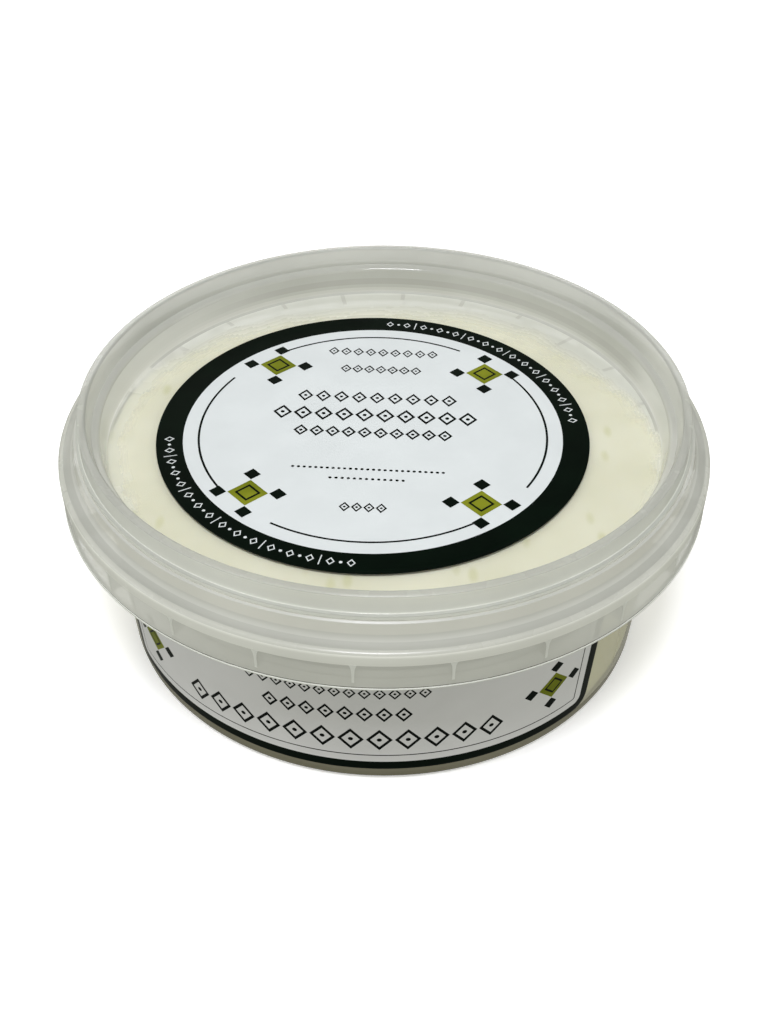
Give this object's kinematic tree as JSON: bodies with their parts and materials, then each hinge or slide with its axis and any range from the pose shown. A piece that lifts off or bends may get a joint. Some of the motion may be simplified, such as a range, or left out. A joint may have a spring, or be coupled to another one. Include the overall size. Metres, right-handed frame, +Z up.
{
  "type": "shut tub of skordalia garlic dip",
  "caption": "Round translucent plastic tub of garlic dip, shut with a press-on lid; wide ribbed collar, round label on the sunk lid panel and a label round the wall.",
  "frame": {"origin": "centre of the foot ring, on the surface the tub stands on", "axes": "+Z up along the axis of the tub; -Y toward the side with the wall label; +X to the right of it"},
  "size_m": [0.119, 0.119, 0.0486],
  "materials": {
    "tub_plastic": "milky translucent polypropylene, smooth and lightly glossy",
    "lid_plastic": "thin, nearly clear polypropylene, glossy",
    "garlic_dip": "thick cream with a soft sheen and a few fine flecks",
    "lid_label_print": "printed film: dark green ring round a white field",
    "side_label_print": "printed film: white field inside a dark green border"
  },
  "bodies": {
    "root": {"tub": "tub_plastic", "lid": "lid_plastic", "dip": "garlic_dip", "lid_label": "lid_label_print", "side_label": "side_label_print"}
  },
  "joints": []
}
